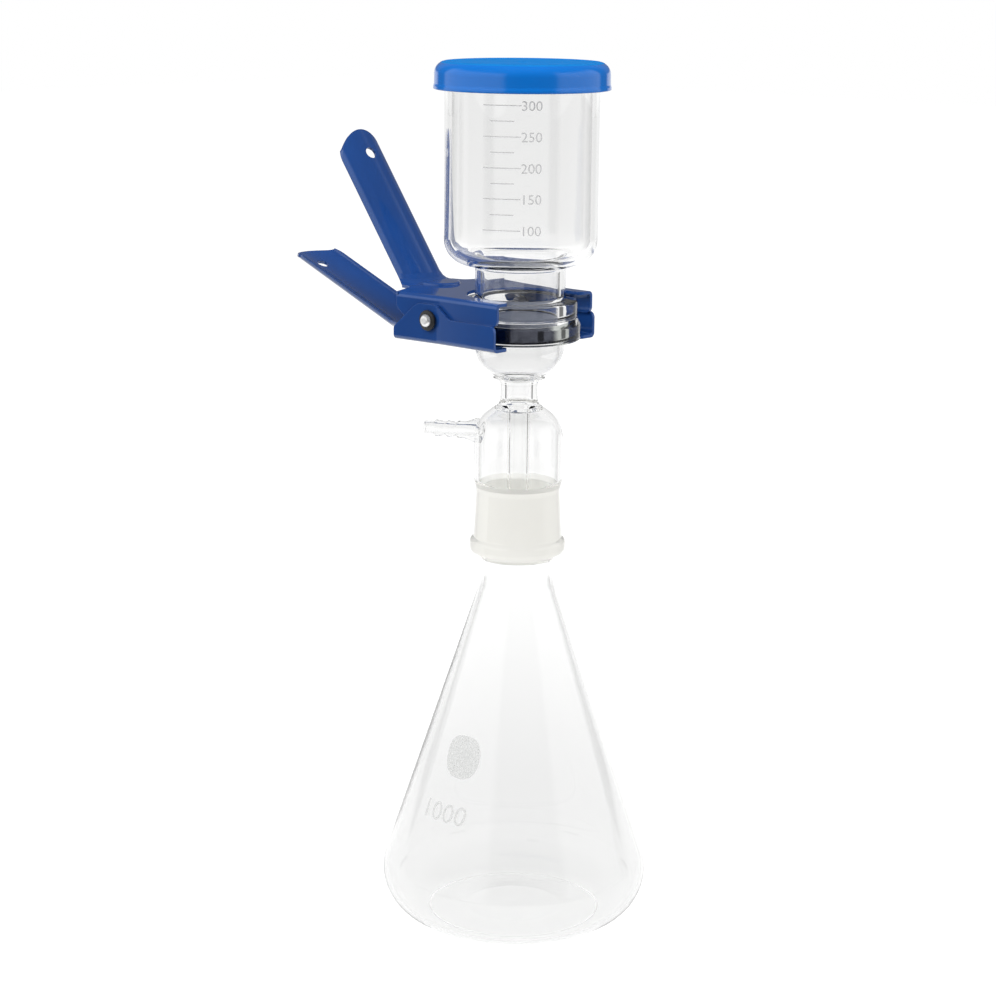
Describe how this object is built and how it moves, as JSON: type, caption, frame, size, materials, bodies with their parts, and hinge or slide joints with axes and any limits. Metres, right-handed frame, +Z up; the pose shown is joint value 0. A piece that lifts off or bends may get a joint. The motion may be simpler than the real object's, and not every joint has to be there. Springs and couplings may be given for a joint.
{
  "type": "vacuum filtration unit",
  "caption": "Glass vacuum filtration unit: measuring funnel with a blue cap, filter head with a sintered disc and hose barb, conical receiving flask, and a blue spring clamp round the flanges.",
  "frame": {"origin": "centre of the flask's base, on the table", "axes": "+Z up the glassware's common axis, clamp handles towards -X, fork open towards +X, rivets along Y"},
  "size_m": [0.2153, 0.131, 0.421],
  "materials": {
    "flask_glass": "clear borosilicate",
    "head_glass": "clear borosilicate, ground frosted joint",
    "sintered_glass": "white sintered glass, porous",
    "funnel_glass": "clear borosilicate with grey graduations",
    "cap_plastic": "opaque blue, satin gloss",
    "clamp_paint": "gloss blue coated sheet",
    "rivet_steel": "bright",
    "ring_steel": "black oxide",
    "spring_steel": "plain drawn wire"
  },
  "bodies": {
    "glassware": {"flask_base": "flask_glass", "flask_cone": "flask_glass", "flask_neck": "flask_glass", "filter_bell": "head_glass", "drip_tube": "head_glass", "filter_cup": "head_glass", "side_arm": "head_glass", "sintered_disc": "sintered_glass", "funnel": "funnel_glass", "lower_lever": "clamp_paint", "rivet_front": "rivet_steel", "rivet_back": "rivet_steel", "retaining_ring_front": "ring_steel", "retaining_ring_back": "ring_steel", "torsion_spring_front": "spring_steel", "torsion_spring_back": "spring_steel"},
    "cap": {"cap": "cap_plastic"},
    "upper_lever": {"upper_lever": "clamp_paint"}
  },
  "joints": [
    {"name": "cap_lift", "type": "slide", "parent": "glassware", "child": "cap", "axis": [0, 0, 1], "range_m": [0, 0.025]},
    {"name": "clamp_hinge", "type": "hinge", "parent": "glassware", "child": "upper_lever", "pos_m": [-0.0252, 0, 0.3003], "axis": [0, -1, 0], "range_deg": [0, 18], "stiffness_Nm_per_rad": 0.6, "springref_deg": -45.84, "deforming": ["torsion_spring_front", "torsion_spring_back"]}
  ]
}
